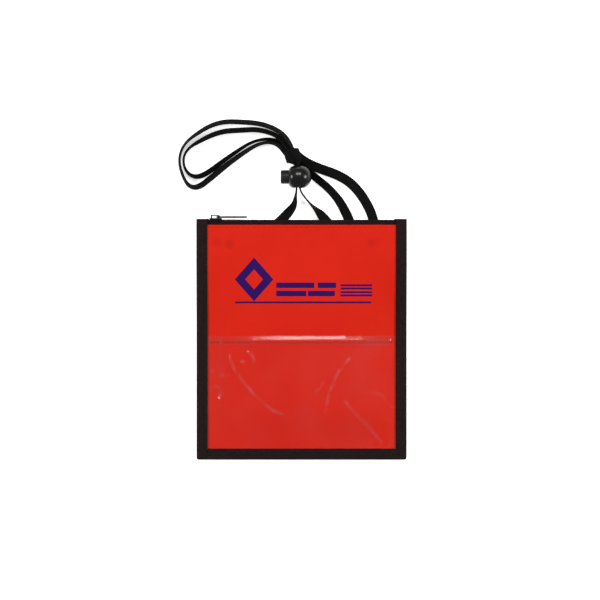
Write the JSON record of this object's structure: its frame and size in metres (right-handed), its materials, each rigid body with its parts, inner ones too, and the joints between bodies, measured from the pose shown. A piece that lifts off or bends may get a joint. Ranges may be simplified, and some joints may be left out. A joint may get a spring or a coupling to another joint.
{
  "type": "zipped badge holder on a neck cord",
  "caption": "Flat zipped pouch with bound edges and a clear front pocket for a badge, carried on a flat neck cord with a spring-loaded ball lock.",
  "frame": {"origin": "under the middle of the pouch, on the surface that it lies on (slider's loop included in the length)", "axes": "+Z out of the front, +Y towards the zip and the neck cord, +X to the right seen from the front"},
  "size_m": [0.1448, 0.2151, 0.0148],
  "materials": {
    "red_cloth": "plain woven, matt",
    "clear_vinyl": "clear, glossy",
    "binding_tape": "woven tape, matt",
    "black_thread": "sewing thread",
    "red_thread": "sewing thread",
    "zip_tape": "woven tape, matt",
    "zip_coil": "nylon coil, satin",
    "zip_metal": "black enamel",
    "lock_plastic": "glossy black moulding",
    "lock_button": "satin black moulding",
    "spring_steel": "drawn wire",
    "neck_cord": "flat woven cord"
  },
  "bodies": {
    "root": {"front_panel": "red_cloth", "back_panel": "red_cloth", "clear_pocket": "clear_vinyl", "pocket_hem_stitching": "red_thread", "edge_binding": "binding_tape", "binding_stitching": "black_thread", "front_panel_stitching": "red_thread", "back_panel_stitching": "red_thread", "zipper_tape_front": "zip_tape", "zipper_tape_back": "zip_tape", "zipper_coil_front": "zip_coil", "zipper_coil_back": "zip_coil", "zipper_end_stop_left": "zip_metal", "zipper_end_stop_right": "zip_metal", "cord_left_leg": "neck_cord", "cord_outer_loop": "neck_cord", "cord_right_leg": "neck_cord", "cord_inner_loop": "neck_cord", "cord_knot": "neck_cord", "cord_tack_left": "red_thread", "cord_tack_right": "red_thread"},
    "slider": {"zipper_slider": "zip_metal"},
    "pull": {"zipper_pull": "zip_metal"},
    "cord_lock": {"cord_lock_body": "lock_plastic", "cord_lock_spring": "spring_steel"},
    "lock_button": {"cord_lock_plunger": "lock_button"}
  },
  "joints": [
    {"name": "zipper_slide", "type": "slide", "parent": "root", "child": "slider", "axis": [1, 0, 0], "range_m": [0, 0.108], "deforming": ["zipper_coil_front", "zipper_coil_back"]},
    {"name": "pull_swing", "type": "hinge", "parent": "slider", "child": "pull", "pos_m": [-0.0534, 0.07615, 0.00535], "axis": [0, 0, 1], "range_deg": [0, 170]},
    {"name": "cord_lock_slide", "type": "slide", "parent": "root", "child": "cord_lock", "axis": [0, -1, 0], "range_m": [0, 0.01], "deforming": ["cord_left_leg", "cord_right_leg"]},
    {"name": "button_press", "type": "slide", "parent": "cord_lock", "child": "lock_button", "axis": [1, 0, 0], "range_m": [0, 0.0025], "stiffness_N_per_m": 800, "springref_m": -0.003, "deforming": ["cord_lock_spring"]}
  ]
}
